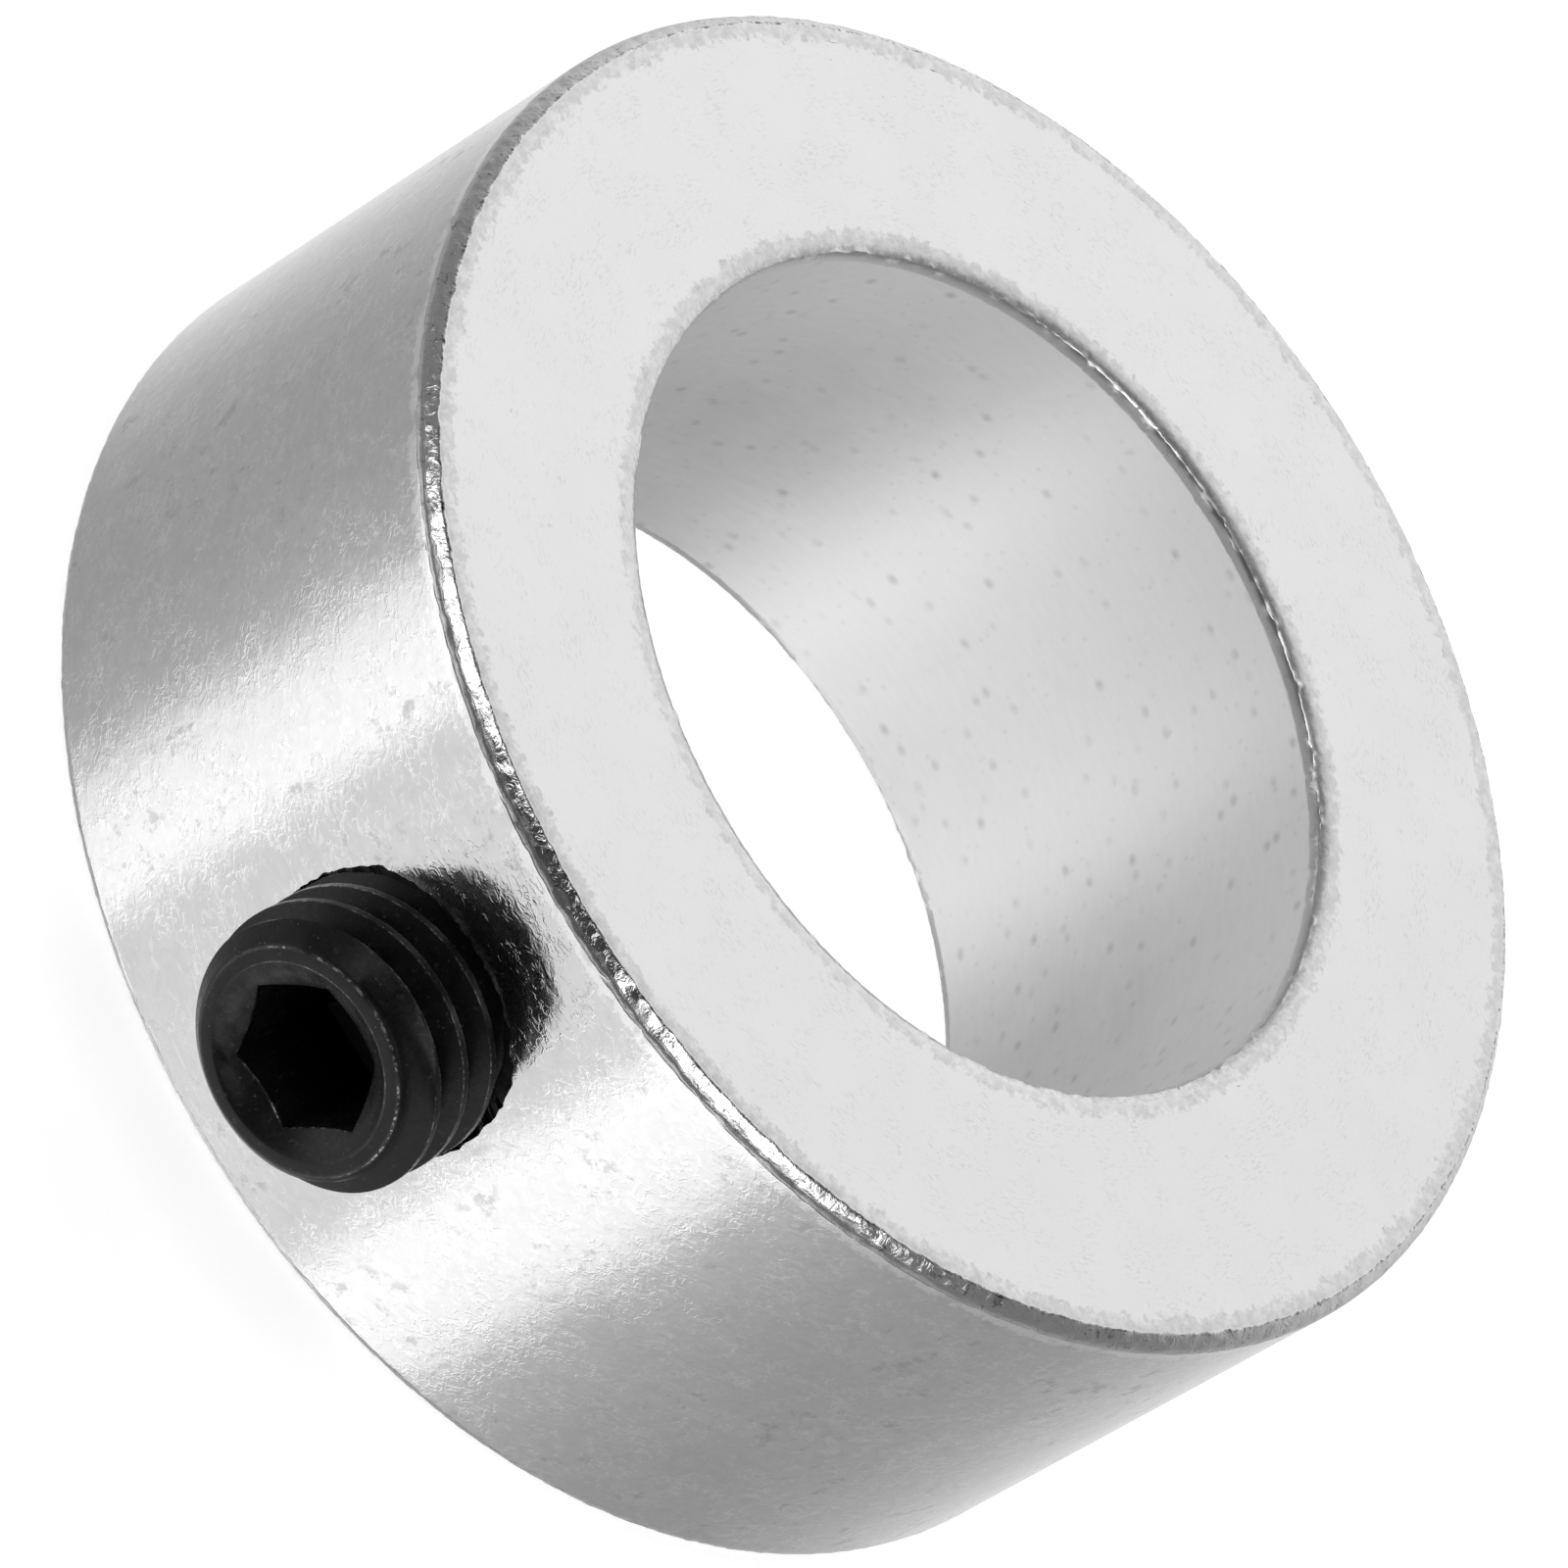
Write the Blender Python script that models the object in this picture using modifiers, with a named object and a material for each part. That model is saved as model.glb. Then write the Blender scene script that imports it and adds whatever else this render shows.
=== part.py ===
"""Set collar for a 25 mm shaft: a turned steel ring, clamped by one M8 hexagon-socket set screw.

Frame: the origin is on the bore's axis at the middle of the ring's width, +Z runs along the bore,
and the set screw points out along -Y. Units are metres.

Sub-parts:
  collar_ring      the turned ring with its tapped hole
  set_screw        the threaded shank of the set screw, with the hexagon socket in its outer end
  set_screw_point  the turned cone point of the same screw, which seats on the shaft
"""

import math

import bmesh
import bpy

# The ring: bore, outside diameter, width and the chamfers at its four edges.
BORE_DIAMETER = 0.025
OUTER_DIAMETER = 0.040
RING_WIDTH = 0.016
OUTER_CHAMFER = 0.0008
BORE_CHAMFER = 0.0006

# The set screw: M8 coarse thread, 10 mm long, with a 4 mm socket and a 90 degree cone point.
THREAD_DIAMETER = 0.008
THREAD_PITCH = 0.00125
SCREW_LENGTH = 0.010
SOCKET_ACROSS_FLATS = 0.004
SOCKET_DEPTH = 0.0045
SOCKET_TURN = math.radians(3.0)
POINT_TIP_DIAMETER = 0.002
END_FACE_DIAMETER = 0.0058
END_ROUNDING = 0.00015

# The ISO metric thread form: depth, crest flat and 60 degree flanks.
THREAD_DEPTH = 0.6134 * THREAD_PITCH
CREST_FLAT = THREAD_PITCH / 8
FLANK_LENGTH = THREAD_DEPTH * math.tan(math.radians(30.0))

# How the screw stands at rest: its outer end this far out of the ring, and a thread crest facing
# the ring's top (+Z) side at this distance from the bore's axis.
SCREW_STANDS_OUT = 0.0036
CREST_FROM_AXIS = 0.0204

# Radial gap between the screw's thread and the ring's, and the gap from the shank to its point.
THREAD_GAP = 0.0003
POINT_GAP = 0.0003

# The blank that the thread is cut from is this much larger, so that the two never share a face.
BLANK_OVERSIZE = 0.0002
HOLE_MOUTH_DIAMETER = 0.0092

RING_STEPS = 128
SCREW_STEPS = 48
MERGE_DISTANCE = 0.000002

OUTER_RADIUS = OUTER_DIAMETER / 2
BORE_RADIUS = BORE_DIAMETER / 2
THREAD_RADIUS = THREAD_DIAMETER / 2
ROOT_RADIUS = THREAD_RADIUS - THREAD_DEPTH

SCREW_END = OUTER_RADIUS + SCREW_STANDS_OUT
SCREW_TIP = SCREW_END - SCREW_LENGTH
POINT_TIP_RADIUS = POINT_TIP_DIAMETER / 2
POINT_LENGTH = ROOT_RADIUS - POINT_TIP_RADIUS
SHANK_START = SCREW_TIP + POINT_LENGTH + POINT_GAP


def clear_scene():
    """Remove whatever the file opened with."""
    for item in list(bpy.data.objects):
        bpy.data.objects.remove(item, do_unlink=True)


def new_collection(name):
    """A collection linked under the scene."""
    collection = bpy.data.collections.new(name)
    bpy.context.scene.collection.children.link(collection)
    return collection


def new_material(name, colour, roughness, metallic):
    """A Principled material with one colour."""
    material = bpy.data.materials.new(name)
    material.use_nodes = True
    shader = material.node_tree.nodes["Principled BSDF"]
    shader.inputs["Base Color"].default_value = (*colour, 1.0)
    shader.inputs["Roughness"].default_value = roughness
    shader.inputs["Metallic"].default_value = metallic
    return material


def add_object(name, mesh, collection, parent=None, material=None):
    """Link a mesh as a named object."""
    item = bpy.data.objects.new(name, mesh)
    collection.objects.link(item)
    item.parent = parent
    if material:
        mesh.materials.append(material)
    return item


def hide_cutter(item):
    """Show a cutter as wires only and keep it out of renders."""
    item.hide_render = True
    item.display_type = "WIRE"


def profile_mesh(name, points, closed):
    """A line of (radius, height) points in the XZ plane, ready for a Screw modifier."""
    mesh = bpy.data.meshes.new(name)
    edges = [(i, i + 1) for i in range(len(points) - 1)]
    if closed:
        edges.append((len(points) - 1, 0))
    mesh.from_pydata([(radius, 0.0, height) for radius, height in points], edges, [])
    return mesh


def add_screw_modifier(item, steps, rise=0.0):
    """Turn the object's profile once about Z, climbing by rise."""
    turn = item.modifiers.new("turn", "SCREW")
    turn.steps = steps
    turn.render_steps = steps
    turn.screw_offset = rise
    turn.use_merge_vertices = True
    turn.merge_threshold = MERGE_DISTANCE


def add_boolean(item, cutter, operation):
    """Cut or intersect the object with a cutter."""
    cut = item.modifiers.new(cutter.name, "BOOLEAN")
    cut.operation = operation
    cut.object = cutter


def turned_solid(name, points, steps, collection, closed=False, **placing):
    """A turned solid from its profile, which runs down its outer side."""
    item = add_object(name, profile_mesh(name, points, closed), collection, **placing)
    add_screw_modifier(item, steps)
    return item


def thread_line(grow, start, turns):
    """The thread's outline up one side: (radius, height) points, one ridge for each turn."""
    crest = THREAD_RADIUS + grow
    root = ROOT_RADIUS + grow
    points = [(root, start)]
    for ridge in range(turns):
        base = start + ridge * THREAD_PITCH
        root_flat = THREAD_PITCH - CREST_FLAT - 2 * FLANK_LENGTH
        rise = base + root_flat
        points += [
            (root, rise),
            (crest, rise + FLANK_LENGTH),
            (crest, rise + FLANK_LENGTH + CREST_FLAT),
            (root, base + THREAD_PITCH),
        ]
    return points


def threaded_rod(name, grow, low, high, collection, parent):
    """A solid rod with the screw's right-hand thread, reaching past low and high.

    A ridged line is swept round once while it climbs one pitch, so that each ridge meets the next
    where the sweep closes, and the whole thread is one helix. Its two open ends are closed with a
    fan of faces each, round a point on the axis.
    """
    crest_centre = THREAD_PITCH - FLANK_LENGTH - CREST_FLAT / 2
    crest_at_x = CREST_FROM_AXIS - THREAD_PITCH / 4
    below = math.ceil((crest_at_x - low) / THREAD_PITCH) + 2
    start = crest_at_x - crest_centre - below * THREAD_PITCH
    turns = math.ceil((high - start) / THREAD_PITCH) + 1
    outline = thread_line(grow, start, turns)
    outline.reverse()

    sweep = add_object(name + "_sweep", profile_mesh(name + "_sweep", outline, False), collection)
    add_screw_modifier(sweep, SCREW_STEPS, rise=THREAD_PITCH)
    graph = bpy.context.evaluated_depsgraph_get()
    mesh = bpy.data.meshes.new_from_object(sweep.evaluated_get(graph))
    bpy.data.objects.remove(sweep, do_unlink=True)

    shell = bmesh.new()
    shell.from_mesh(mesh)
    bmesh.ops.remove_doubles(shell, verts=shell.verts[:], dist=MERGE_DISTANCE)
    rims = [edge for edge in shell.edges if edge.is_boundary]
    ends = bmesh.ops.holes_fill(shell, edges=rims, sides=0)
    fans = bmesh.ops.poke(shell, faces=ends["faces"])
    for centre in fans["verts"]:
        centre.co = (0.0, 0.0, centre.co.z)
    bmesh.ops.recalc_face_normals(shell, faces=shell.faces[:])
    shell.to_mesh(mesh)
    shell.free()
    rod = add_object(name, mesh, collection, parent=parent)
    hide_cutter(rod)
    return rod


def socket_cutter(collection, parent):
    """A hexagonal prism that ends in the shallow cone left by the socket's drill."""
    corner_radius = SOCKET_ACROSS_FLATS / math.sqrt(3)
    past_end = 0.001
    prism_length = SOCKET_DEPTH + past_end
    cone_length = corner_radius * math.tan(math.radians(30.0))
    shape = bmesh.new()
    prism = bmesh.ops.create_cone(shape, cap_ends=True, segments=6, radius1=corner_radius,
                                  radius2=corner_radius, depth=prism_length)
    bmesh.ops.translate(shape, verts=prism["verts"], vec=(0, 0, past_end - prism_length / 2))
    floor = min(shape.faces, key=lambda face: face.calc_center_median().z)
    fan = bmesh.ops.poke(shape, faces=[floor])
    bmesh.ops.translate(shape, verts=fan["verts"], vec=(0, 0, -cone_length))
    mesh = bpy.data.meshes.new("socket_cutter")
    shape.to_mesh(mesh)
    shape.free()
    cutter = add_object("socket_cutter", mesh, collection, parent=parent)
    cutter.location = (0, 0, SCREW_END)
    cutter.rotation_euler = (0, 0, SOCKET_TURN + math.radians(30.0))
    hide_cutter(cutter)
    return cutter


def mouth_cutter(collection, parent):
    """A 90 degree cone that breaks the edge of the tapped hole on the ring's outside."""
    radius = HOLE_MOUTH_DIAMETER / 2
    above = 0.001
    points = [(0.0, above), (radius + above, above), (0.0, -radius)]
    cutter = turned_solid("hole_mouth_cutter", points, SCREW_STEPS, collection, parent=parent)
    cutter.location = (0, 0, OUTER_RADIUS)
    hide_cutter(cutter)
    return cutter


def ring_profile():
    """The ring's cross-section with its four chamfers."""
    top = RING_WIDTH / 2
    outer = [
        (OUTER_RADIUS - OUTER_CHAMFER, top),
        (OUTER_RADIUS, top - OUTER_CHAMFER),
        (OUTER_RADIUS, OUTER_CHAMFER - top),
        (OUTER_RADIUS - OUTER_CHAMFER, -top),
    ]
    bore = [
        (BORE_RADIUS + BORE_CHAMFER, -top),
        (BORE_RADIUS, BORE_CHAMFER - top),
        (BORE_RADIUS, top - BORE_CHAMFER),
        (BORE_RADIUS + BORE_CHAMFER, top),
    ]
    return outer + bore


def build_ring(parts, cutters, screw_axis, material):
    """The turned ring with its tapped and countersunk hole."""
    ring = turned_solid("collar_ring", ring_profile(), RING_STEPS, parts, closed=True,
                        material=material)
    tap = threaded_rod("tapped_hole_cutter", THREAD_GAP, BORE_RADIUS - 0.0015,
                       OUTER_RADIUS + 0.001, cutters, screw_axis)
    add_boolean(ring, tap, "DIFFERENCE")
    add_boolean(ring, mouth_cutter(cutters, screw_axis), "DIFFERENCE")
    return ring


def build_shank(parts, cutters, screw_axis, material):
    """The screw's threaded shank: a turned blank cut to the thread, then the socket."""
    face_radius = END_FACE_DIAMETER / 2
    chamfer_top = SCREW_END - END_ROUNDING
    blank_radius = THREAD_RADIUS + BLANK_OVERSIZE
    blank_chamfer = blank_radius - ROOT_RADIUS
    blank = [
        (0.0, SCREW_END),
        (face_radius, SCREW_END),
        (ROOT_RADIUS, chamfer_top),
        (blank_radius, chamfer_top - blank_chamfer),
        (blank_radius, SHANK_START + blank_chamfer),
        (ROOT_RADIUS, SHANK_START),
        (0.0, SHANK_START),
    ]
    shank = turned_solid("set_screw", blank, SCREW_STEPS, parts, parent=screw_axis,
                         material=material)
    thread = threaded_rod("thread_form", 0.0, SHANK_START, SCREW_END, cutters, screw_axis)
    add_boolean(shank, thread, "INTERSECT")
    add_boolean(shank, socket_cutter(cutters, screw_axis), "DIFFERENCE")
    return shank


def build_point(parts, screw_axis, material):
    """The screw's cone point, with the small flat that bears on the shaft."""
    cone = [
        (0.0, SCREW_TIP + POINT_LENGTH),
        (ROOT_RADIUS, SCREW_TIP + POINT_LENGTH),
        (POINT_TIP_RADIUS, SCREW_TIP),
        (0.0, SCREW_TIP),
    ]
    return turned_solid("set_screw_point", cone, SCREW_STEPS, parts, parent=screw_axis,
                        material=material)


def main():
    """Build the collar."""
    clear_scene()
    parts = new_collection("shaft_collar")
    cutters = new_collection("cutters")
    zinc = new_material("zinc_plate", (0.74, 0.75, 0.76), 0.28, 1.0)
    black = new_material("black_oxide", (0.02, 0.02, 0.022), 0.38, 0.6)

    # The screw's axis: local +Z points out of the ring along -Y, and local +Y along +Z.
    screw_axis = bpy.data.objects.new("screw_axis", None)
    parts.objects.link(screw_axis)
    screw_axis.rotation_euler = (math.radians(90.0), 0.0, 0.0)

    build_ring(parts, cutters, screw_axis, zinc)
    build_shank(parts, cutters, screw_axis, black)
    build_point(parts, screw_axis, black)


main()
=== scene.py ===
import math

import bmesh
import bpy
import numpy as np
from mathutils import Matrix, Quaternion, Vector, noise


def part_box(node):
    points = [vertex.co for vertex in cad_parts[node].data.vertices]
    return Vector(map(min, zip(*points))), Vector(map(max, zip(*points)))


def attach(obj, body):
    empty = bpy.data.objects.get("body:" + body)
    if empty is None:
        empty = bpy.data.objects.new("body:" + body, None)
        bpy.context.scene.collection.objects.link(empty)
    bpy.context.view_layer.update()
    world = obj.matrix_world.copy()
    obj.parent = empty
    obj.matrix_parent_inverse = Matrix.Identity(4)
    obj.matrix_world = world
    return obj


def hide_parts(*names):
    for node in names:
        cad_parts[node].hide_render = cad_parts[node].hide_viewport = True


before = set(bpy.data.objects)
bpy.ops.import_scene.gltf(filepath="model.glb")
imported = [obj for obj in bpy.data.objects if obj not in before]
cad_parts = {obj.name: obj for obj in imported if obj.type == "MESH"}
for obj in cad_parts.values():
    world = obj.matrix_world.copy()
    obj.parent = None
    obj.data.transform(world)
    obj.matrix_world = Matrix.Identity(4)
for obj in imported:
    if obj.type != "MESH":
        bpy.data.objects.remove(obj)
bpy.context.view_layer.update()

# Lengths are in millimetres until they reach a mesh, and MM turns them into metres.
MM = 0.001

# ---- Sizes taken from the frame -------------------------------------------------------
ring_low, ring_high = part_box("collar_ring")
OUTER_RADIUS = ring_high.x / MM
HALF_WIDTH = ring_high.z / MM
SCREW_END = -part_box("set_screw")[0].y / MM
SCREW_TIP = -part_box("set_screw_point")[1].y / MM
FLOOR_HEIGHT = ring_low.z

# ---- Ring -----------------------------------------------------------------------------
BORE_RADIUS = 12.5
RING_COLUMNS = 880
PLAIN_ROWS = 5
# Each chamfer is walked from the round side to the face: how far the surface has turned up
# (degrees) at the start and at the end of each stretch, its length, and its number of steps.
OUTER_EDGE = (
    (0, 36, 0.26, 5),
    (36, 44, 0.06, 2),
    (44, 51, 0.31, 4),
    (51, 80, 0.09, 2),
    (80, 90, 0.34, 4),
)
BORE_EDGE = (
    (0, 14, 0.04, 2),
    (14, 22, 0.28, 2),
    (22, 58, 0.06, 3),
    (58, 78, 0.28, 4),
    (78, 90, 0.36, 4),
)
EDGE_MARGIN = 0.1
EDGE_WANDER = 0.13
EDGE_RIPPLE = 0.022
WANDER_SCALE = 26.0
RIPPLE_SCALE = 64.0
BORE_RIPPLE_SHARE = 0.4
BETWEEN_BORE_AND_OUTSIDE = 16.0
SHARP_ON_RING = 28.0
WELD_DISTANCE = 1e-7

# ---- Thread, M8 x 1.25 right-hand ------------------------------------------------------
PITCH = 1.25
MAJOR_RADIUS = 4.0
THREAD_DEPTH = 0.6134 * PITCH
CREST_FLAT = PITCH / 6
FLANK_LENGTH = THREAD_DEPTH * math.tan(math.radians(30.0))
CREST_FROM_AXIS = 20.4
CREST_EDGE = 0.004
THREAD_EDGE_ROUNDING = 0.022
CLEAR_OF_THREAD = MAJOR_RADIUS + 1.0

# ---- Tapped hole ----------------------------------------------------------------------
HOLE_CLEARANCE = 0.08
HOLE_COLUMNS = 120
HOLE_INNER_END = BORE_RADIUS - 2.5
HOLE_OUTER_END = OUTER_RADIUS + 1.0
MOUTH_RADIUS = 4.28
MOUTH_FLOOR_RADIUS = 3.1
MOUTH_FLOOR = OUTER_RADIUS - 1.0
MOUTH_SHOULDER = OUTER_RADIUS - 0.3
MOUTH_COLUMNS = 300
MOUTH_BURR = 0.10
MOUTH_BURR_SCALE = 9.0

# ---- Set screw ------------------------------------------------------------------------
SCREW_COLUMNS = 240
POINT_TIP_RADIUS = 1.0
END_CHAMFER_RADIUS = 3.25
DISH_RADIUS = 2.84
DISH_SLOPE = 0.6
SOCKET_RADIUS = 2.0
SOCKET_DEPTH = 4.5
SOCKET_TURN = math.radians(3.0)
DRILL_CONE = 0.9
SHARP_ON_SCREW = 26.0

# ---- Camera, from the photograph's viewing angle -----------------------------------------
CAMERA_AT = Vector((0.005204, -0.297158, 0.247605))
CAMERA_LOOKS = Vector((-0.01385, 0.76774, -0.64061))
CAMERA_ROLL = math.radians(59.1)
CAMERA_LENS = 319.75
CAMERA_SENSOR = 36.0

# ---- Studio: bearings and heights are in degrees, and 0 is the bearing of the set screw ---
FLOOR_SIDE = 6.0
FLOOR_GREY = 0.86
FLOOR_GLOW = 0.66
# (bearing as a share of half a turn, brightness)
LOW_SKY = (
    (0.0, 0.85), (0.2, 0.81), (0.36, 0.47), (0.5, 0.36),
    (0.64, 0.36), (0.76, 0.50), (0.88, 0.72), (1.0, 1.0),
)
HIGH_SKY = (
    (0.0, 0.05), (0.15, 0.06), (0.35, 0.13), (0.5, 0.20), (0.62, 0.22),
    (0.70, 0.34), (0.78, 0.62), (0.88, 0.98), (1.0, 1.02),
)
# each side of a softbox is (where it is dark, where it is fully bright)
LOW_BOX_LEAN = 0.18
LOW_BOX_SIDES = (((-76.0, -62.0), (-42.0, -48.0)), ((14.0, 24.0), (52.0, 41.0)))
LOW_BOX_HEIGHTS = ((-92.0, -91.0), (10.0, -10.0))
LOW_BOX_STRENGTH = 0.50
HIGH_BOX_SIDES = (((-77.0, -70.0), (-32.0, -38.0)), ((21.0, 28.0), (74.0, 67.0)))
HIGH_BOX_HEIGHTS = ((32.0, 38.0), (80.0, 74.0))
HIGH_BOX_STRENGTH = 1.8


# ---- Meshes ---------------------------------------------------------------------------
def mesh_object(name, points, faces, values=None):
    """A mesh object from millimetre points, with optional per-point values named "wear"."""
    mesh = bpy.data.meshes.new(name)
    mesh.from_pydata((np.array(points) * MM).tolist(), [], faces)
    if values is not None:
        attribute = mesh.attributes.new("wear_and_sheen", "FLOAT", "POINT")
        attribute.data.foreach_set("value", np.array(values, np.float32))
    mesh.update()
    item = bpy.data.objects.new(name, mesh)
    bpy.context.scene.collection.objects.link(item)
    return item


def make_consistent(item):
    """Weld points that coincide, and point the faces outwards."""
    shape = bmesh.new()
    shape.from_mesh(item.data)
    bmesh.ops.remove_doubles(shape, verts=shape.verts, dist=WELD_DISTANCE)
    bmesh.ops.recalc_face_normals(shape, faces=shape.faces)
    shape.to_mesh(item.data)
    shape.free()


def shade(item, sharp_angle):
    """Smooth shading, with edges past an angle kept sharp."""
    item.data.shade_smooth()
    item.data.set_sharp_from_angle(angle=math.radians(sharp_angle))


def ripple(angle, level, scale, octaves=3):
    """Seeded noise round the ring at one level of its outline, from about -1 to 1."""
    place = Vector((math.cos(angle) * scale, math.sin(angle) * scale, level))
    return noise.fractal(place, 1.0, 2.0, octaves, noise_basis="PERLIN_ORIGINAL")


# ---- Ring -----------------------------------------------------------------------------
def edge_walk(stretches):
    """Steps along an edge as (across, up, turned up), from (0, 0) on the round side to the face."""
    across = up = 0.0
    rows = [(across, up, 0.0)]
    for start, end, length, steps in stretches:
        for step in range(steps):
            tilt = math.radians(start + (end - start) * (step + 0.5) / steps)
            across += math.sin(tilt) * length / steps
            up += math.cos(tilt) * length / steps
            rows.append((across, up, tilt))
    return rows


def ring_outline():
    """Half of the ring's outline, from mid outside to mid bore.

    Each row is (radius, height, normal on an edge or None).
    """
    outer_edge = edge_walk(OUTER_EDGE)
    bore_edge = edge_walk(BORE_EDGE)
    outer_foot = HALF_WIDTH - outer_edge[-1][1]
    bore_foot = HALF_WIDTH - bore_edge[-1][1]
    outside = [
        (OUTER_RADIUS, height, None)
        for height in np.linspace(0.0, outer_foot - EDGE_MARGIN, PLAIN_ROWS)
    ]
    crinkled = [
        (OUTER_RADIUS - across, outer_foot + up, (math.cos(tilt), math.sin(tilt)))
        for across, up, tilt in outer_edge
    ]
    softened = [
        (BORE_RADIUS + across, bore_foot + up, (-math.cos(tilt), math.sin(tilt)))
        for across, up, tilt in reversed(bore_edge)
    ]
    face_starts = crinkled[-1][0] - EDGE_MARGIN
    face_ends = softened[0][0] + EDGE_MARGIN
    face = [
        (radius, HALF_WIDTH, None) for radius in np.linspace(face_starts, face_ends, PLAIN_ROWS)
    ]
    bore = [
        (BORE_RADIUS, height, None)
        for height in np.linspace(bore_foot - EDGE_MARGIN, 0.0, PLAIN_ROWS)
    ]
    return outside + crinkled + face + softened + bore


def ruffled(radius, height, side, normal, angle):
    """A place on an edge, moved by the ripples and the wander of its worn plating."""
    level = 5.0 * radius + 9.0 * height
    push = EDGE_RIPPLE * ripple(angle, level, RIPPLE_SCALE)
    wander = EDGE_WANDER * ripple(angle, side * 30.0 + radius, WANDER_SCALE)
    outer = radius > BETWEEN_BORE_AND_OUTSIDE
    # the ripples fade out at both ends of the edge, and the wander where it meets the round side
    fade = min(1.0, 2.5 * normal[1], 2.5 * abs(normal[0]))
    push *= fade if outer else BORE_RIPPLE_SHARE * fade
    wander *= min(1.0, 2.5 * normal[1])
    radius += normal[0] * push + (-wander if outer else wander) * normal[1]
    height += side * (normal[1] * push + abs(normal[0]) * wander)
    if outer:
        radius = min(radius, OUTER_RADIUS)
    return radius, max(-HALF_WIDTH, min(HALF_WIDTH, height))


def build_ring():
    """The collar's ring: a turned blank with crinkled, worn chamfers."""
    half = ring_outline()
    outline = [(radius, height, 1.0, normal) for radius, height, normal in half]
    outline += [(radius, -height, -1.0, normal) for radius, height, normal in reversed(half[1:-1])]
    rows = len(outline)
    points = []
    for column in range(RING_COLUMNS):
        angle = 2 * math.pi * column / RING_COLUMNS
        for radius, height, side, normal in outline:
            if normal:
                radius, height = ruffled(radius, height, side, normal, angle)
            points.append((radius * math.cos(angle), radius * math.sin(angle), height))
    faces = []
    for column in range(RING_COLUMNS):
        here = column * rows
        after = (column + 1) % RING_COLUMNS * rows
        for row in range(rows):
            above = (row + 1) % rows
            faces.append((here + row, after + row, after + above, here + above))
    ring = mesh_object("ring", points, faces)
    make_consistent(ring)
    return ring


# ---- Threaded solids ------------------------------------------------------------------
def thread_radius(phase, clearance):
    """Radius of the thread at a phase from 0 to 1 of its pitch, with the crest at 0."""
    away = abs((phase + 0.5) % 1.0 - 0.5) * PITCH
    past_crest = away - CREST_FLAT / 2
    fall = min(max(past_crest / FLANK_LENGTH, 0.0), 1.0)
    return MAJOR_RADIUS + clearance - THREAD_DEPTH * fall


def crest_wear(phase):
    """How worn the thread is at a phase: most on the crest's two edges, a little between."""
    away = abs((phase + 0.5) % 1.0 - 0.5) * PITCH
    if abs(away - CREST_FLAT / 2) < CREST_EDGE:
        return 1.0
    return 0.22 if away < CREST_FLAT / 2 else 0.0


def thread_phases():
    """The rows that one pitch needs: both edges of the crest, its flanks and its root."""
    crest = CREST_FLAT / 2 / PITCH
    root = crest + FLANK_LENGTH / PITCH
    edge = THREAD_EDGE_ROUNDING / PITCH
    right = [crest - edge, crest, crest + edge, (3 * crest + root) / 4, (crest + root) / 2,
             (crest + 3 * root) / 4, root - edge, root + edge]
    return [0.0] + right + [0.5] + [1.0 - phase for phase in reversed(right)]


def soft_min(a, b, width=0.015):
    """The smaller of two radii, rounded where they meet."""
    gap = max(width - abs(a - b), 0.0) / width
    return min(a, b) - gap * gap * width / 4


def threaded_rows(columns, low, high, envelope, clearance):
    """Points, wear and faces of a threaded surface between two distances from the bore's axis.

    Its rows follow the helix, so that the crest is one clean line of edges. Rows past an end are
    held at that end, where they meet in one vertex for each column.
    """
    phases = thread_phases()
    per_turn = len(phases)
    first = math.floor((low - CREST_FROM_AXIS) / PITCH) - 2
    last = math.ceil((high - CREST_FROM_AXIS) / PITCH) + 2
    rows = (last - first) * per_turn
    points, wear_and_sheen, index = [], [], {}
    ends = [[], []]
    for column in range(columns):
        turn = column / columns
        angle = 2 * math.pi * turn
        ends_of_column = [None, None]
        for row in range(rows):
            phase = phases[row % per_turn]
            # the crest stands at CREST_FROM_AXIS on the +Z side, a quarter turn on from +X
            along = CREST_FROM_AXIS + PITCH * (first + row // per_turn + phase + turn - 0.25)
            side = 0 if along <= low else 1 if along >= high else None
            if side is not None and ends_of_column[side] is not None:
                index[column, row] = ends_of_column[side]
                continue
            along = min(max(along, low), high)
            radius = soft_min(thread_radius(phase, clearance), envelope(along))
            if side is not None:
                radius = envelope(along)
            index[column, row] = len(points)
            if side is not None:
                ends_of_column[side] = len(points)
                ends[side].append(len(points))
            whole = radius > thread_radius(phase, clearance) - 0.03
            points.append((radius * math.cos(angle), -along, radius * math.sin(angle)))
            wear_and_sheen.append(crest_wear(phase) if whole and side is None else 0.0)
    faces = []
    for column in range(columns):
        for row in range(rows - 1):
            if column + 1 < columns:
                after, above = index[column + 1, row], index[column + 1, row + 1]
            else:
                after = index[0, min(row + per_turn, rows - 1)]
                above = index[0, min(row + per_turn + 1, rows - 1)]
            corners = [index[column, row], after, above, index[column, row + 1]]
            face = [c for place, c in enumerate(corners) if c not in corners[:place]]
            if len(face) > 2:
                faces.append(face)
    return points, wear_and_sheen, faces, ends


def add_rings(points, wear_and_sheen, faces, start, rings, dish=0.0):
    """Carry a loop of vertices on through further loops: radius at an angle, place along, wear."""
    columns = len(start)
    loop = start
    for radius_at, along, worn in rings:
        fresh = []
        for column in range(columns):
            angle = 2 * math.pi * column / columns
            radius = radius_at(angle)
            depth = max(DISH_RADIUS - radius, 0.0) * dish
            fresh.append(len(points))
            points.append((radius * math.cos(angle), depth - along, radius * math.sin(angle)))
            wear_and_sheen.append(worn(angle) if callable(worn) else worn)
        for column in range(columns):
            after = (column + 1) % columns
            faces.append((loop[column], loop[after], fresh[after], fresh[column]))
        loop = fresh
    return loop


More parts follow.
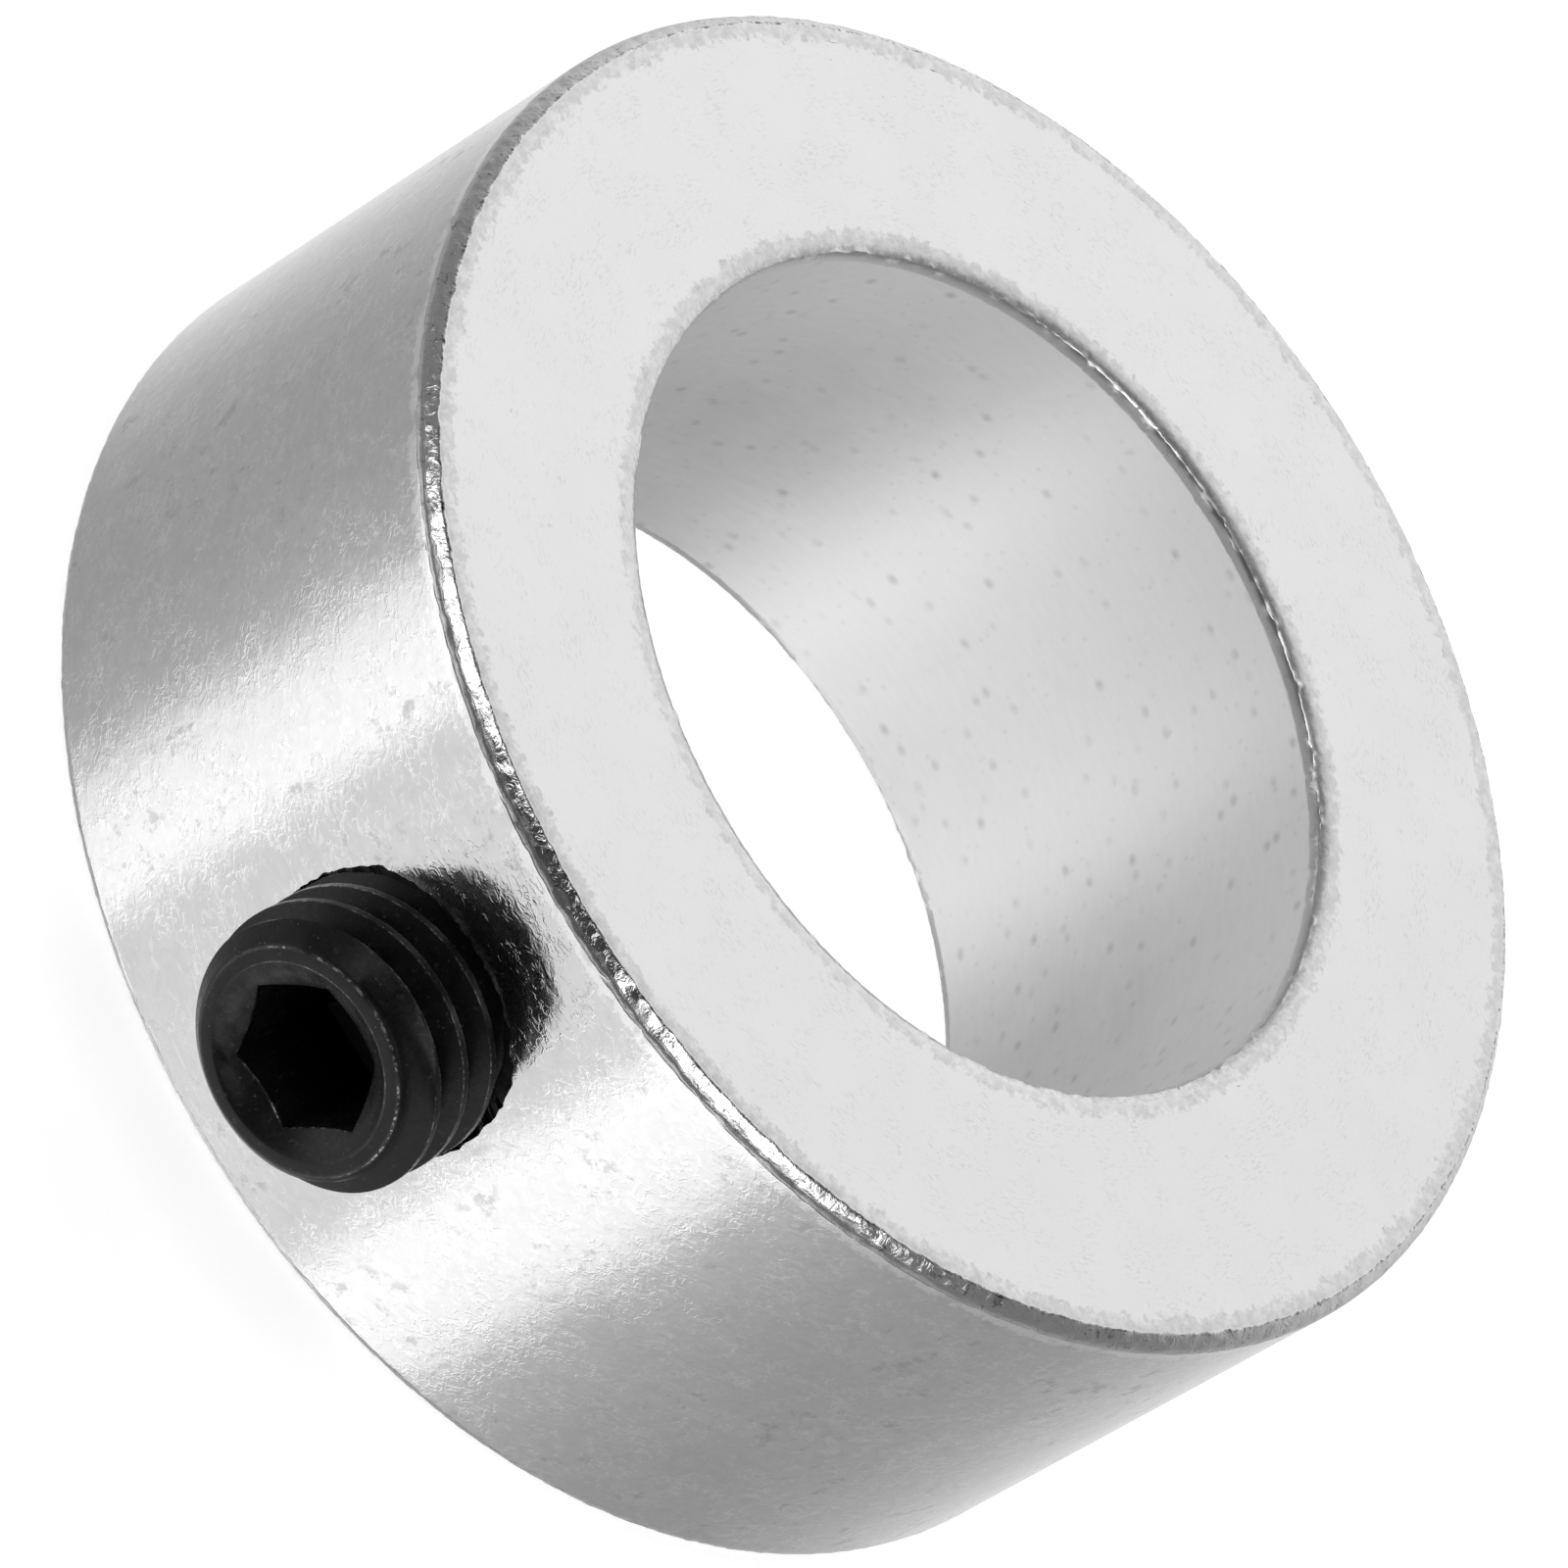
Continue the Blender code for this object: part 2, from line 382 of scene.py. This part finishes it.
def close_loop(points, wear_and_sheen, faces, loop, along):
    """Close a loop of vertices with a fan about one vertex on the axis."""
    centre = len(points)
    points.append((0.0, -along, 0.0))
    wear_and_sheen.append(0.0)
    for column, here in enumerate(loop):
        faces.append((here, loop[(column + 1) % len(loop)], centre))


def circle(radius):
    """A loop of one radius."""
    return lambda angle: radius


def wear_and_sheen_side(most, facing, least=0.0):
    """Wear and painted sheen, greatest on the side facing one angle (degrees), and least opposite
    it.
    """
    def worn_at(angle):
        towards = 0.5 + 0.9 * math.cos(angle - math.radians(facing))
        return least + (most - least) * min(max(towards, 0.0), 1.0)
    return worn_at


def hexagon(across_half):
    """A six-sided loop, with its corners where the socket's corners are."""
    def radius_at(angle):
        beside = (angle - SOCKET_TURN) % math.radians(60.0) - math.radians(30.0)
        return across_half / math.cos(beside)
    return radius_at


def build_screw():
    """The set screw: thread, worn end, hexagon socket and cone point in one closed mesh."""
    chamfer_foot = SCREW_END - 0.12

    def envelope(along):
        cone = POINT_TIP_RADIUS + along - SCREW_TIP
        chamfer = END_CHAMFER_RADIUS + (SCREW_END - 0.02 - along)
        return min(cone, chamfer, CLEAR_OF_THREAD)

    points, wear_and_sheen, faces, ends = threaded_rows(SCREW_COLUMNS, SCREW_TIP, chamfer_foot, envelope, 0.0)
    end_radius = envelope(chamfer_foot)
    # each row is (radius, distance from the bore's axis, wear and painted sheen)
    # The one-sided values below are wear and painted sheen: bright worn lines on one side of the
    # end's rim with a painted sheen round it, and a painted sheen on one side of the dish.
    rim_wear_and_sheen = wear_and_sheen_side(1.0, 75.0, 0.30)
    dish_polish_and_sheen = wear_and_sheen_side(0.48, 174.0)
    rings = [
        (circle(end_radius - 0.05), SCREW_END - 0.076, 0.18),
        (circle(end_radius - 0.09), SCREW_END - 0.048, rim_wear_and_sheen),
        (circle(end_radius - 0.12), SCREW_END - 0.032, rim_wear_and_sheen),
        (circle(end_radius - 0.16), SCREW_END - 0.017, 0.18),
        (circle(end_radius - 0.24), SCREW_END - 0.004, 0.06),
        (circle(DISH_RADIUS + 0.12), SCREW_END, 0.0),
        (circle(DISH_RADIUS + 0.04), SCREW_END, 0.1),
        (circle(DISH_RADIUS + 0.01), SCREW_END - 0.004, wear_and_sheen_side(0.9, 100.0, 0.1)),
        (circle(DISH_RADIUS - 0.02), SCREW_END - 0.012, 0.05),
    ]
    dish = [
        (circle(DISH_RADIUS - 0.12), SCREW_END - 0.016, dish_polish_and_sheen),
        (circle(DISH_RADIUS - 0.40), SCREW_END - 0.016, dish_polish_and_sheen),
        (hexagon(SOCKET_RADIUS + 0.04), SCREW_END - 0.016, wear_and_sheen_side(0.30, 174.0)),
        (hexagon(SOCKET_RADIUS + 0.015), SCREW_END - 0.022, wear_and_sheen_side(0.8, 290.0)),
        (hexagon(SOCKET_RADIUS), SCREW_END - 0.045, wear_and_sheen_side(0.8, 290.0)),
        (hexagon(SOCKET_RADIUS - 0.005), SCREW_END - 0.09, 0.0),
    ]
    socket = [
        (hexagon(SOCKET_RADIUS - 0.01), SCREW_END - 1.5, 0.0),
        (hexagon(SOCKET_RADIUS - 0.01), SCREW_END - 3.0, 0.0),
        (hexagon(SOCKET_RADIUS - 0.01), SCREW_END - SOCKET_DEPTH + 0.05, 0.0),
        (hexagon(SOCKET_RADIUS - 0.08), SCREW_END - SOCKET_DEPTH, 0.0),
    ]
    rim = add_rings(points, wear_and_sheen, faces, ends[1], rings)
    mouth = add_rings(points, wear_and_sheen, faces, rim, dish, DISH_SLOPE)
    floor = add_rings(points, wear_and_sheen, faces, mouth, socket)
    close_loop(points, wear_and_sheen, faces, floor, SCREW_END - SOCKET_DEPTH - DRILL_CONE)
    tip = [(circle(POINT_TIP_RADIUS - 0.06), SCREW_TIP, 0.8)]
    tip_loop = add_rings(points, wear_and_sheen, faces, ends[0], tip)
    close_loop(points, wear_and_sheen, faces, tip_loop, SCREW_TIP)
    screw = mesh_object("screw", points, faces, wear_and_sheen)
    make_consistent(screw)
    shade(screw, SHARP_ON_SCREW)
    return screw


def build_hole_cutter():
    """The tapped hole, as the solid that is taken out of the ring."""
    def envelope(along):
        if HOLE_INNER_END < along < HOLE_OUTER_END:
            return CLEAR_OF_THREAD
        return MAJOR_RADIUS - THREAD_DEPTH

    points, wear_and_sheen, faces, ends = threaded_rows(
        HOLE_COLUMNS, HOLE_INNER_END, HOLE_OUTER_END, envelope, HOLE_CLEARANCE
    )
    close_loop(points, wear_and_sheen, faces, ends[0], HOLE_INNER_END)
    close_loop(points, wear_and_sheen, faces, ends[1], HOLE_OUTER_END)
    cutter = mesh_object("hole_cutter", points, faces)
    make_consistent(cutter)
    return cutter


def build_mouth_cutter():
    """The small countersink where the tapped hole leaves the ring's outside, with a torn edge."""
    def torn(radius):
        def radius_at(angle):
            return radius + MOUTH_BURR * ripple(angle, 0.0, MOUTH_BURR_SCALE)
        return radius_at

    points, wear_and_sheen, faces, start = [], [], [], []
    for column in range(MOUTH_COLUMNS):
        angle = 2 * math.pi * column / MOUTH_COLUMNS
        x = MOUTH_FLOOR_RADIUS * math.cos(angle)
        z = MOUTH_FLOOR_RADIUS * math.sin(angle)
        start.append(len(points))
        points.append((x, -MOUTH_FLOOR, z))
    mouth = torn(MOUTH_RADIUS)
    rings = [(mouth, MOUTH_SHOULDER, 0.0), (mouth, HOLE_OUTER_END, 0.0)]
    loop = add_rings(points, wear_and_sheen, faces, start, rings)
    close_loop(points, wear_and_sheen, faces, start, MOUTH_FLOOR)
    close_loop(points, wear_and_sheen, faces, loop, HOLE_OUTER_END)
    cutter = mesh_object("mouth_cutter", points, faces)
    make_consistent(cutter)
    return cutter


def cut(item, cutters):
    """Take solids out of an object, for good."""
    for cutter in cutters:
        modifier = item.modifiers.new("cut", "BOOLEAN")
        modifier.object = cutter
        modifier.operation = "DIFFERENCE"
        modifier.solver = "EXACT"
    graph = bpy.context.evaluated_depsgraph_get()
    mesh = bpy.data.meshes.new_from_object(item.evaluated_get(graph))
    item.modifiers.clear()
    old = item.data
    item.data = mesh
    bpy.data.meshes.remove(old)
    make_consistent(item)
    for cutter in cutters:
        old = cutter.data
        bpy.data.objects.remove(cutter)
        bpy.data.meshes.remove(old)


# ---- Materials ------------------------------------------------------------------------
class Nodes:
    """Short ways to add shader nodes to one tree."""

    def __init__(self, tree):
        self.tree = tree

    def add(self, kind, inputs=None, **settings):
        """A node with its settings, and its inputs set or linked by name or number."""
        node = self.tree.nodes.new(kind)
        for name, value in settings.items():
            setattr(node, name, value)
        for name, value in (inputs or {}).items():
            self.feed(node.inputs[name], value)
        return node

    def feed(self, socket, value):
        """Link a socket to an output, or set its value."""
        if isinstance(value, bpy.types.NodeSocket):
            self.tree.links.new(value, socket)
        else:
            socket.default_value = value

    def math(self, operation, *values):
        """One number from one, two or three."""
        node = self.add("ShaderNodeMath", dict(enumerate(values)), operation=operation)
        return node.outputs[0]

    def step(self, value, low, high, from_value=0.0, to_value=1.0):
        """A smooth step from one value to another as the input goes from low to high."""
        node = self.add(
            "ShaderNodeMapRange",
            {"Value": value, "From Min": low, "From Max": high, "To Min": from_value,
             "To Max": to_value},
            interpolation_type="SMOOTHSTEP",
        )
        return node.outputs["Result"]

    def split(self, vector):
        """The three numbers of a vector."""
        return self.add("ShaderNodeSeparateXYZ", {0: vector}).outputs

    def vector(self, x, y, z):
        """A vector from three numbers."""
        return self.add("ShaderNodeCombineXYZ", {"X": x, "Y": y, "Z": z}).outputs[0]

    def stretched(self, place, scale):
        """A place, scaled differently along each axis."""
        node = self.add("ShaderNodeVectorMath", {0: place, 1: scale}, operation="MULTIPLY")
        return node.outputs[0]

    def noise(self, place, scale=1.0, detail=2.0, roughness=0.5, distortion=0.0):
        """Noise, from about 0.25 to 0.75."""
        node = self.add(
            "ShaderNodeTexNoise",
            {"Vector": place, "Scale": scale, "Detail": detail, "Roughness": roughness,
             "Distortion": distortion},
        )
        return node.outputs["Fac"]

    def dots(self, place, scale, size):
        """Soft round dots scattered through space, 1 at their centres."""
        node = self.add("ShaderNodeTexVoronoi", {"Vector": place, "Scale": scale})
        return self.step(node.outputs["Distance"], 0.0, size, 1.0, 0.0)

    def lines(self, place, width):
        """Thin curved lines, 1 at their middles."""
        curves = self.noise(place, 1.0, 2.0, 0.6, 0.6)
        away = self.math("ABSOLUTE", self.math("SUBTRACT", curves, 0.5))
        return self.step(away, 0.0, width, 1.0, 0.0)

    def bump(self, relief):
        """A bumped normal, from a relief in micrometres."""
        node = self.add("ShaderNodeBump", {"Height": relief, "Distance": 1e-6, "Strength": 1.0})
        return node.outputs[0]

    def total(self, *values):
        """The sum of several numbers."""
        result = values[0]
        for value in values[1:]:
            result = self.math("ADD", result, value)
        return result

    def product(self, *values):
        """The product of several numbers."""
        result = values[0]
        for value in values[1:]:
            result = self.math("MULTIPLY", result, value)
        return result


def new_material(name):
    """A material with only a Principled shader, its node helper, and its place in millimetres."""
    material = bpy.data.materials.new(name)
    material.use_nodes = True
    nodes = Nodes(material.node_tree)
    shader = material.node_tree.nodes["Principled BSDF"]
    coordinates = nodes.add("ShaderNodeTexCoord")
    metres = coordinates.outputs["Object"]
    scaled = nodes.add("ShaderNodeVectorMath", {0: metres, "Scale": 1 / MM}, operation="SCALE")
    return material, nodes, shader, scaled.outputs[0], coordinates.outputs["Normal"]


def grey(nodes, value):
    """A neutral colour of one brightness."""
    return nodes.add("ShaderNodeCombineColor", {0: value, 1: value, 2: value}).outputs[0]


def ring_zones(nodes, radius, height, up):
    """How much of each of the ring's surfaces a place belongs to, from 0 to 1."""
    level = nodes.step(up, 0.955, 0.99)
    on_side = nodes.step(up, 0.10, 0.28, 1.0, 0.0)
    near_end = nodes.step(height, 6.6, 6.9)
    on_edge = nodes.math("SUBTRACT", 1.0, nodes.math("MAXIMUM", level, on_side))
    zones = {
        "outside": nodes.product(on_side, nodes.step(radius, 19.0, 19.4)),
        "bore": nodes.product(on_side, nodes.step(radius, 12.7, 12.9, 1.0, 0.0)),
        "face": nodes.product(level, near_end),
        "edge": nodes.product(on_edge, near_end),
    }
    left_over = nodes.math("SUBTRACT", 1.0, nodes.total(*zones.values()))
    zones["hole"] = nodes.math("MAXIMUM", left_over, 0.0)
    return zones


def outside_plate(nodes, place, z, shared):
    """Foil-like plating: wrinkles, strokes, dull stains, and a painted highlight, a light rim by
    the front chamfer.
    """
    foil = nodes.noise(nodes.stretched(place, (1.8, 1.8, 2.4)), 1.0, 3.0, 0.60, 1.1)
    strokes = nodes.product(
        nodes.lines(nodes.stretched(place, (2.1, 2.1, 3.2)), 0.06),
        nodes.step(shared["patchy"], 0.42, 0.60),
    )
    stains = nodes.product(
        nodes.step(nodes.noise(place, 1.5, 4.0, 0.7), 0.55, 0.66),
        nodes.step(shared["broad"], 0.46, 0.60),
    )
    combed = nodes.noise(nodes.stretched(place, (0.35, 7.0, 5.0)), 1.0, 1.0)
    scratches = nodes.step(combed, 0.66, 0.70)
    # The rim is a painted highlight: a blotchy band just below the front chamfer, on the +Z side
    # only, made lighter.
    reach = nodes.math("MULTIPLY_ADD", shared["fine"], 0.9, z)
    rim = nodes.product(nodes.step(reach, 7.62, 7.78), nodes.step(shared["patchy"], 0.36, 0.52))
    shade = nodes.total(
        nodes.product(stains, -0.20),
        # the rim's painted highlight
        nodes.product(rim, 0.36),
        nodes.product(scratches, 0.10),
        nodes.product(strokes, 0.12),
        nodes.product(nodes.math("SUBTRACT", foil, 0.5), 0.22),
    )
    rough = nodes.total(0.11, nodes.product(stains, 0.12), nodes.product(rim, 0.10))
    relief = nodes.total(
        nodes.product(shared["broad"], 24.0),
        nodes.product(foil, 10.0),
        nodes.product(strokes, 2.8),
    )
    return shade, rough, relief


def face_plate(nodes, place, radius, shared):
    """Satin plating over turning marks: patches of short dashes, specks, ragged grey borders."""
    x, y, z = nodes.split(place)
    turned = nodes.vector(nodes.product(radius, 13.0), nodes.product(x, 5.0), nodes.product(y, 5.0))
    turning = nodes.noise(turned, 1.0, 1.0, 0.5)
    dashes = nodes.product(
        nodes.step(turning, 0.52, 0.66),
        nodes.step(shared["patchy"], 0.40, 0.68),
    )
    specks = nodes.step(shared["fine"], 0.66, 0.74)
    ragged = nodes.total(nodes.product(shared["patchy"], 0.5), nodes.product(shared["fine"], 1.0))
    border = nodes.math(
        "MAXIMUM",
        nodes.step(nodes.math("ADD", radius, ragged), 19.78, 19.96),
        nodes.step(nodes.math("SUBTRACT", radius, ragged), 12.38, 12.60, 1.0, 0.0),
    )
    greyed = nodes.product(border, nodes.step(shared["fine"], 0.34, 0.62, 0.3, 1.2))
    shade = nodes.total(
        nodes.product(dashes, -0.11), nodes.product(specks, -0.14), nodes.product(greyed, -0.10),
    )
    rough = nodes.total(0.26, nodes.product(greyed, 0.10))
    relief = nodes.total(nodes.product(turning, 0.7), nodes.product(shared["fine"], border, 5.0))
    return shade, rough, relief


def bore_plate(nodes, place, shared):
    """Duller plating over fine boring marks, with small soft pits, and the whole bore lightened as
    painted light.
    """
    streaks = nodes.noise(nodes.stretched(place, (1.3, 1.3, 4.6)), 1.0, 3.0, 0.6)
    pits = nodes.dots(nodes.stretched(place, (0.9, 0.9, 1.1)), 1.05, 0.27)
    specks = nodes.dots(place, 1.8, 0.22)
    marks = nodes.total(
        nodes.product(pits, nodes.step(shared["patchy"], 0.40, 0.60, 0.35, 1.0)),
        nodes.product(specks, 0.35),
    )
    shade = nodes.total(
        # painted light: 0.13 lightens the whole bore
        0.13,
        nodes.product(marks, -0.28),
        nodes.product(nodes.math("SUBTRACT", streaks, 0.5), 0.12),
    )
    rough = nodes.total(0.42, nodes.product(streaks, 0.08))
    relief = nodes.total(nodes.product(streaks, 4.0), nodes.product(marks, -8.0))
    return shade, rough, relief


def edge_plate(nodes, place, radius, up):
    """Chamfers: smooth in the bore; outside, a soft part and then a band of sharp crinkles."""
    outer = nodes.step(radius, 15.0, 16.0)
    cut = nodes.product(outer, nodes.step(up, 0.66, 0.74))
    knee = nodes.product(nodes.step(up, 0.80, 0.88), nodes.step(up, 0.965, 0.985, 1.0, 0.0))
    crinkle = nodes.noise(place, 3.6, 3.0, 0.6, 1.3)
    shade = nodes.total(
        nodes.product(nodes.step(crinkle, 0.58, 0.68), nodes.step(outer, 0.0, 1.0, -0.10, -0.45)),
        nodes.product(
            knee, nodes.step(crinkle, 0.40, 0.56), nodes.step(outer, 0.0, 1.0, -0.16, -0.45)
        ),
    )
    rough = nodes.step(cut, 0.0, 1.0, 0.26, 0.10)
    depth = nodes.total(0.8, nodes.product(outer, 8.0), nodes.product(cut, 12.0))
    relief = nodes.product(crinkle, depth)
    return shade, rough, relief


def hole_plate(nodes, shared):
    """Dull plating inside the tapped hole, darkened with painted shade."""
    # -0.25 is painted shade in the hole, 0.34 its roughness.
    return -0.25, 0.34, nodes.product(shared["fine"], 5.0)


def zinc_plate():
    """Bright zinc plate over turned steel, with its own finish on each of the ring's surfaces."""
    material, nodes, shader, place, normal = new_material("zinc_plate")
    shader.inputs["Metallic"].default_value = 1.0
    x, y, z = nodes.split(place)
    radius = nodes.math("SQRT", nodes.total(nodes.product(x, x), nodes.product(y, y)))
    height = nodes.math("ABSOLUTE", z)
    up = nodes.math("ABSOLUTE", nodes.split(normal)[2])
    zones = ring_zones(nodes, radius, height, up)
    shared = {
        "broad": nodes.noise(place, 0.36, 2.0),
        "patchy": nodes.noise(place, 0.9, 4.0, 0.65),
        "fine": nodes.noise(place, 3.7, 3.0, 0.7),
    }
    finishes = {
        "outside": outside_plate(nodes, place, z, shared),
        "bore": bore_plate(nodes, place, shared),
        "face": face_plate(nodes, place, radius, shared),
        "edge": edge_plate(nodes, place, radius, up),
        "hole": hole_plate(nodes, shared),
    }
    shade, rough, relief = [
        nodes.total(*[nodes.product(finishes[name][part], zones[name]) for name in zones])
        for part in range(3)
    ]
    cloud = nodes.step(shared["broad"], 0.25, 0.75)
    brightness = nodes.product(
        nodes.math("MULTIPLY_ADD", cloud, 0.03, 0.79), nodes.math("ADD", shade, 1.0),
    )
    nodes.feed(shader.inputs["Base Color"], grey(nodes, brightness))
    nodes.feed(shader.inputs["Roughness"], nodes.total(rough, nodes.product(cloud, 0.03)))
    nodes.feed(shader.inputs["Normal"], nodes.bump(relief))
    return material


def black_oxide():
    """Satin black oxide on alloy steel, worn bright along the crests and rims, with a painted sheen
    on one side of its end.
    """
    material, nodes, shader, place, normal = new_material("black_oxide")
    shader.inputs["Specular IOR Level"].default_value = 0.32
    # The per-point values read here hold wear and painted sheen.
    worn = nodes.add("ShaderNodeAttribute", attribute_name="wear_and_sheen").outputs["Fac"]
    patchy = nodes.noise(place, 1.4, 3.0, 0.6)
    fine = nodes.noise(place, 6.0, 3.0, 0.7)
    wear_and_sheen = nodes.product(
        nodes.step(worn, 0.5, 1.0),
        nodes.step(fine, 0.48, 0.58),
        nodes.step(patchy, 0.40, 0.55),
    )
    # Rubbed crest flats and the one-sided parts of the end are made lighter and smoother; on the
    # end the lightening is painted sheen.
    polish_and_sheen = nodes.product(nodes.step(worn, 0.08, 0.48), nodes.step(patchy, 0.30, 0.66))
    rubbed = nodes.noise(nodes.stretched(place, (5.0, 1.6, 5.0)), 1.0, 4.0, 0.65)
    scuffs = nodes.step(rubbed, 0.60, 0.70)
    dust = nodes.dots(place, 3.0, 0.10)
    brightness = nodes.total(
        nodes.step(patchy, 0.3, 0.7, 0.003, 0.007),
        # lighter where polished; on the end this is painted sheen
        nodes.product(polish_and_sheen, 0.032),
        nodes.product(scuffs, 0.022),
        nodes.product(dust, 0.12),
        nodes.product(wear_and_sheen, 0.40),
    )
    nodes.feed(shader.inputs["Base Color"], grey(nodes, brightness))
    nodes.feed(shader.inputs["Metallic"], nodes.product(wear_and_sheen, 0.9))
    rough = nodes.total(
        nodes.step(fine, 0.3, 0.7, 0.24, 0.38),
        nodes.product(polish_and_sheen, -0.13),
        nodes.product(scuffs, 0.10),
    )
    nodes.feed(shader.inputs["Roughness"], rough)
    relief = nodes.total(
        nodes.product(fine, 3.0),
        nodes.product(patchy, 5.0),
        nodes.product(scuffs, 1.5),
        nodes.product(wear_and_sheen, -1.0),
    )
    nodes.feed(shader.inputs["Normal"], nodes.bump(relief))
    return material


# ---- Studio ---------------------------------------------------------------------------
def ramp(nodes, value, stops):
    """A curve of brightness through (place, brightness) stops."""
    node = nodes.add("ShaderNodeValToRGB", {"Fac": value})
    node.color_ramp.interpolation = "B_SPLINE"
    elements = node.color_ramp.elements
    while len(elements) > 1:
        elements.remove(elements[-1])
    for place, bright in stops:
        element = elements[0] if place == stops[0][0] else elements.new(place)
        element.position = place
        element.color = (bright, bright, bright, 1.0)
    return node.outputs["Color"]


def softbox(nodes, around, height, sides, heights, strength):
    """How much a softbox adds for a direction, by its bearing and height in degrees.

    Both ends of its sides and heights are given as (where it is dark, where it is fully bright).
    """
    left, right = sides
    bottom, top = heights
    parts = (
        nodes.step(around, left[0], left[1]),
        nodes.step(around, right[1], right[0], 1.0, 0.0),
        nodes.step(height, bottom[0], bottom[1]),
        nodes.step(height, top[1], top[0], 1.0, 0.0),
    )
    return nodes.product(*parts, strength)


def build_world():
    """A soft studio as a sky: white behind, darker at the sides, and dark in front above.

    Two low softboxes in front light the ring's outside, and two high ones light its chamfers.
    """
    world = bpy.data.worlds.new("studio")
    bpy.context.scene.world = world
    world.use_nodes = True
    world.node_tree.nodes.clear()
    nodes = Nodes(world.node_tree)
    direction = nodes.add("ShaderNodeTexCoord").outputs["Generated"]
    x, y, z = nodes.split(direction)
    around = nodes.math("DEGREES", nodes.math("ARCTAN2", x, nodes.math("MULTIPLY", y, -1.0)))
    height = nodes.math("DEGREES", nodes.math("ARCSINE", z))
    sideways = nodes.math("DIVIDE", nodes.math("ABSOLUTE", around), 180.0)
    sky = nodes.add("ShaderNodeMix", data_type="RGBA")
    nodes.feed(sky.inputs["Factor"], nodes.step(height, -22.0, 12.0))
    nodes.feed(sky.inputs[6], ramp(nodes, sideways, LOW_SKY))
    nodes.feed(sky.inputs[7], ramp(nodes, sideways, HIGH_SKY))
    level = nodes.product(
        nodes.add("ShaderNodeRGBToBW", {0: sky.outputs[2]}).outputs[0],
        nodes.step(around, -150.0, 150.0, 1.03, 0.93),
        nodes.step(height, 52.0, 78.0, 1.0, 0.22),
    )
    leaning = nodes.math("MULTIPLY_ADD", height, LOW_BOX_LEAN, around)
    low = [
        softbox(nodes, leaning, height, sides, LOW_BOX_HEIGHTS, LOW_BOX_STRENGTH)
        for sides in LOW_BOX_SIDES
    ]
    high = [
        softbox(nodes, around, height, sides, HIGH_BOX_HEIGHTS, HIGH_BOX_STRENGTH)
        for sides in HIGH_BOX_SIDES
    ]
    boxes = nodes.total(*low, *high)
    total = nodes.math("ADD", level, boxes)
    is_camera = nodes.add("ShaderNodeLightPath").outputs["Is Camera Ray"]
    shown = nodes.add("ShaderNodeMix", data_type="FLOAT")
    nodes.feed(shown.inputs["Factor"], is_camera)
    nodes.feed(shown.inputs[2], total)
    nodes.feed(shown.inputs[3], 1.0)
    background = nodes.add("ShaderNodeBackground", {"Color": grey(nodes, shown.outputs[0])})
    output = nodes.add("ShaderNodeOutputWorld")
    world.node_tree.links.new(background.outputs[0], output.inputs["Surface"])


def build_floor():
    """A plain near-white floor that glows a little, so that shadows on it stay faint."""
    bpy.ops.mesh.primitive_plane_add(size=FLOOR_SIDE, location=(0.0, 0.0, FLOOR_HEIGHT))
    floor = bpy.context.object
    floor.name = "floor"
    material = bpy.data.materials.new("floor")
    material.use_nodes = True
    shader = material.node_tree.nodes["Principled BSDF"]
    shader.inputs["Base Color"].default_value = (FLOOR_GREY, FLOOR_GREY, FLOOR_GREY, 1.0)
    shader.inputs["Roughness"].default_value = 1.0
    shader.inputs["Specular IOR Level"].default_value = 0.0
    shader.inputs["Emission Color"].default_value = (1.0, 1.0, 1.0, 1.0)
    shader.inputs["Emission Strength"].default_value = FLOOR_GLOW
    floor.data.materials.append(material)
    floor.visible_glossy = False
    floor.visible_shadow = False


def build_camera():
    """The camera, at the photograph's viewing angle."""
    data = bpy.data.cameras.new("camera")
    data.lens = CAMERA_LENS
    data.sensor_width = CAMERA_SENSOR
    data.clip_start = 0.01
    data.clip_end = 20.0
    camera = bpy.data.objects.new("camera", data)
    bpy.context.scene.collection.objects.link(camera)
    aim = CAMERA_LOOKS.to_track_quat("-Z", "Y")
    roll = Quaternion((0.0, 0.0, 1.0), CAMERA_ROLL)
    turn = (aim @ roll).to_matrix().to_4x4()
    camera.matrix_world = Matrix.Translation(CAMERA_AT) @ turn
    bpy.context.scene.camera = camera


# ---- The object -----------------------------------------------------------------------
def main():
    """Build the collar, its screw and the studio."""
    build_camera()

    ring = build_ring()
    cut(ring, [build_hole_cutter(), build_mouth_cutter()])
    shade(ring, SHARP_ON_RING)
    ring.data.materials.clear()
    ring.data.materials.append(zinc_plate())
    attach(ring, "collar")
    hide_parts("collar_ring")

    screw = build_screw()
    screw.data.materials.append(black_oxide())
    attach(screw, "screw")
    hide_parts("set_screw", "set_screw_point")

    build_world()
    build_floor()
    bpy.context.scene.view_settings.view_transform = "Standard"


main()
